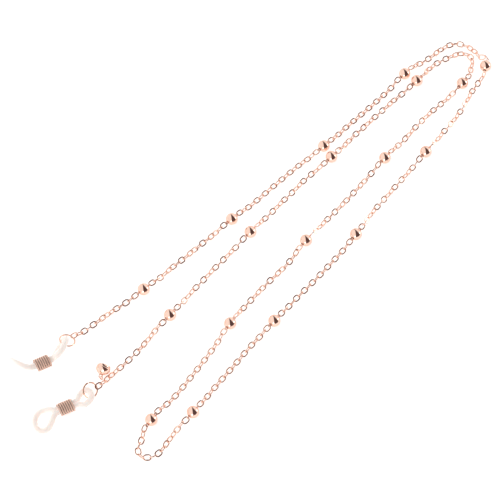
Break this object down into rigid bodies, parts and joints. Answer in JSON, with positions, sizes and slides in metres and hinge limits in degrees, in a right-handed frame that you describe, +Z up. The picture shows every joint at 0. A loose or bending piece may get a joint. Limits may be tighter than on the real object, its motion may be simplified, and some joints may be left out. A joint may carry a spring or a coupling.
{
  "type": "eyeglass retainer strap",
  "caption": "Eyeglass retainer strap: cable chain with polished beads, clear rubber temple loops in wire sleeves at both ends, open jump rings and a small drop charm, laid in a double loop.",
  "frame": {"origin": "the middle of the lay, on the table that the strap lies on", "axes": "+X along the length of the lay, from the two temple loops to the turned end; +Y across the lay, towards the strand that starts at end A; +Z up from the table"},
  "size_m": [0.2095, 0.057, 0.0075],
  "materials": {
    "polished_rose_gold": "mirror-polished rose-gold plating",
    "rose_gold_wire": "bright rose-gold plated wire",
    "clear_rubber": "clear silicone, satin"
  },
  "bodies": {
    "run_10": {"chain_run_10": "rose_gold_wire", "ball_09": "polished_rose_gold", "ball_10": "polished_rose_gold"},
    "run_09": {"chain_run_09": "rose_gold_wire", "ball_08": "polished_rose_gold"},
    "run_08": {"chain_run_08": "rose_gold_wire", "ball_07": "polished_rose_gold"},
    "run_07": {"chain_run_07": "rose_gold_wire", "ball_06": "polished_rose_gold"},
    "run_06": {"chain_run_06": "rose_gold_wire", "ball_05": "polished_rose_gold"},
    "run_05": {"chain_run_05": "rose_gold_wire", "ball_04": "polished_rose_gold"},
    "run_04": {"chain_run_04": "rose_gold_wire", "ball_03": "polished_rose_gold"},
    "run_03": {"chain_run_03": "rose_gold_wire", "ball_02": "polished_rose_gold"},
    "run_02": {"chain_run_02": "rose_gold_wire", "ball_01": "polished_rose_gold"},
    "run_01": {"chain_run_01": "rose_gold_wire"},
    "run_11": {"chain_run_11": "rose_gold_wire", "ball_11": "polished_rose_gold"},
    "run_12": {"chain_run_12": "rose_gold_wire", "ball_12": "polished_rose_gold"},
    "run_13": {"chain_run_13": "rose_gold_wire", "ball_13": "polished_rose_gold"},
    "run_14": {"chain_run_14": "rose_gold_wire", "ball_14": "polished_rose_gold"},
    "run_15": {"chain_run_15": "rose_gold_wire", "ball_15": "polished_rose_gold"},
    "run_16": {"chain_run_16": "rose_gold_wire", "ball_16": "polished_rose_gold"},
    "run_17": {"chain_run_17": "rose_gold_wire", "ball_17": "polished_rose_gold"},
    "run_18": {"chain_run_18": "rose_gold_wire", "ball_18": "polished_rose_gold"},
    "run_19": {"chain_run_19": "rose_gold_wire"},
    "ring_a": {"jump_ring_a": "rose_gold_wire"},
    "ring_b": {"jump_ring_b": "rose_gold_wire"},
    "loop_a": {"temple_loop_a": "clear_rubber"},
    "loop_b": {"temple_loop_b": "clear_rubber"},
    "slider_a": {"sleeve_a": "rose_gold_wire"},
    "slider_b": {"sleeve_b": "rose_gold_wire"},
    "charm_link": {"charm_link": "rose_gold_wire"},
    "charm": {"charm": "polished_rose_gold"}
  },
  "joints": [
    {"name": "bend_at_ball_09", "type": "hinge", "parent": "run_10", "child": "run_09", "pos_m": [-0.06064, -0.02394, 0.002], "axis": [-0.1592, 0.9872, 0], "range_deg": [-60, 60]},
    {"name": "bend_at_ball_08", "type": "hinge", "parent": "run_09", "child": "run_08", "pos_m": [-0.01952, -0.01712, 0.002], "axis": [-0.1293, 0.9916, 0], "range_deg": [-60, 60]},
    {"name": "bend_at_ball_07", "type": "hinge", "parent": "run_08", "child": "run_07", "pos_m": [0.02263, -0.01098, 0.002], "axis": [0.2124, -0.9772, 0], "range_deg": [-60, 60]},
    {"name": "bend_at_ball_06", "type": "hinge", "parent": "run_07", "child": "run_06", "pos_m": [0.06306, -0.0034, 0.002], "axis": [-0.1713, 0.9852, 0], "range_deg": [-60, 60]},
    {"name": "bend_at_ball_05", "type": "hinge", "parent": "run_06", "child": "run_05", "pos_m": [0.10356, 0.00929, 0.002], "axis": [0.5812, -0.8137, 0], "range_deg": [-60, 60]},
    {"name": "bend_at_ball_04", "type": "hinge", "parent": "run_05", "child": "run_04", "pos_m": [0.07481, 0.02408, 0.002], "axis": [0.0748, -0.9972, 0], "range_deg": [-60, 60]},
    {"name": "bend_at_ball_03", "type": "hinge", "parent": "run_04", "child": "run_03", "pos_m": [0.033, 0.02113, 0.002], "axis": [-0.0237, 0.9997, 0], "range_deg": [-60, 60]},
    {"name": "bend_at_ball_02", "type": "hinge", "parent": "run_03", "child": "run_02", "pos_m": [-0.0099, 0.02047, 0.002], "axis": [0.0098, -1, 0], "range_deg": [-60, 60]},
    {"name": "bend_at_ball_01", "type": "hinge", "parent": "run_02", "child": "run_01", "pos_m": [-0.0493, 0.01982, 0.002], "axis": [0.0056, 1, 0], "range_deg": [-60, 60]},
    {"name": "bend_at_ball_10", "type": "hinge", "parent": "run_10", "child": "run_11", "pos_m": [-0.07219, -0.0169, 0.002], "axis": [-0.2412, 0.9705, 0], "range_deg": [-60, 60]},
    {"name": "bend_at_ball_11", "type": "hinge", "parent": "run_11", "child": "run_12", "pos_m": [-0.03089, -0.0079, 0.002], "axis": [0.2414, -0.9704, 0], "range_deg": [-60, 60]},
    {"name": "bend_at_ball_12", "type": "hinge", "parent": "run_12", "child": "run_13", "pos_m": [0.00866, -0.0017, 0.002], "axis": [-0.1713, 0.9852, 0], "range_deg": [-60, 60]},
    {"name": "bend_at_ball_13", "type": "hinge", "parent": "run_13", "child": "run_14", "pos_m": [0.05097, 0.00409, 0.002], "axis": [0.1355, -0.9908, 0], "range_deg": [-60, 60]},
    {"name": "bend_at_ball_14", "type": "hinge", "parent": "run_14", "child": "run_15", "pos_m": [0.09277, 0.00835, 0.002], "axis": [-0.1536, 0.9881, 0], "range_deg": [-60, 60]},
    {"name": "bend_at_ball_15", "type": "hinge", "parent": "run_15", "child": "run_16", "pos_m": [0.07591, 0.0191, 0.002], "axis": [-0.0676, 0.9977, 0], "range_deg": [-60, 60]},
    {"name": "bend_at_ball_16", "type": "hinge", "parent": "run_16", "child": "run_17", "pos_m": [0.03191, 0.016, 0.002], "axis": [0.0706, -0.9975, 0], "range_deg": [-60, 60]},
    {"name": "bend_at_ball_17", "type": "hinge", "parent": "run_17", "child": "run_18", "pos_m": [-0.00858, 0.01226, 0.002], "axis": [-0.1174, 0.9931, 0], "range_deg": [-60, 60]},
    {"name": "bend_at_ball_18", "type": "hinge", "parent": "run_18", "child": "run_19", "pos_m": [-0.04907, 0.00637, 0.002], "axis": [0.1477, -0.989, 0], "range_deg": [-60, 60]},
    {"name": "ring_a_swing", "type": "hinge", "parent": "run_01", "child": "ring_a", "pos_m": [-0.07476, 0.02197, 0.00129], "axis": [-0.0785, 0.9969, 0], "range_deg": [-40, 40]},
    {"name": "ring_b_swing", "type": "hinge", "parent": "run_19", "child": "ring_b", "pos_m": [-0.08041, 0.00295, 0.00141], "axis": [0.2346, 0.7356, 0.6355], "range_deg": [-40, 40]},
    {"name": "loop_a_swing", "type": "hinge", "parent": "ring_a", "child": "loop_a", "pos_m": [-0.07722, 0.02213, 0.0033], "axis": [-0.16, -0.54, 0.8263], "range_deg": [-20, 30]},
    {"name": "loop_b_swing", "type": "hinge", "parent": "ring_b", "child": "loop_b", "pos_m": [-0.0834, 0.00198, 0.00235], "axis": [-0.3616, -0.8791, 0.3105], "range_deg": [-20, 30]},
    {"name": "sleeve_a_slide", "type": "slide", "parent": "loop_a", "child": "slider_a", "axis": [-0.9588, 0.284, 0], "range_m": [-0.001, 0.003], "deforming": ["temple_loop_a"]},
    {"name": "sleeve_b_slide", "type": "slide", "parent": "loop_b", "child": "slider_b", "axis": [-0.9563, 0.2924, 0], "range_m": [-0.001, 0.003], "deforming": ["temple_loop_b"]},
    {"name": "charm_link_swing", "type": "hinge", "parent": "run_19", "child": "charm_link", "pos_m": [-0.07775, 0.00298, 0.0011], "axis": [0.9925, 0.0503, -0.1114], "range_deg": [0, 70]},
    {"name": "charm_swing", "type": "hinge", "parent": "charm_link", "child": "charm", "pos_m": [-0.07722, 0.00468, 0.00227], "axis": [0.3445, -0.6026, 0.7199], "range_deg": [0, 40]}
  ]
}
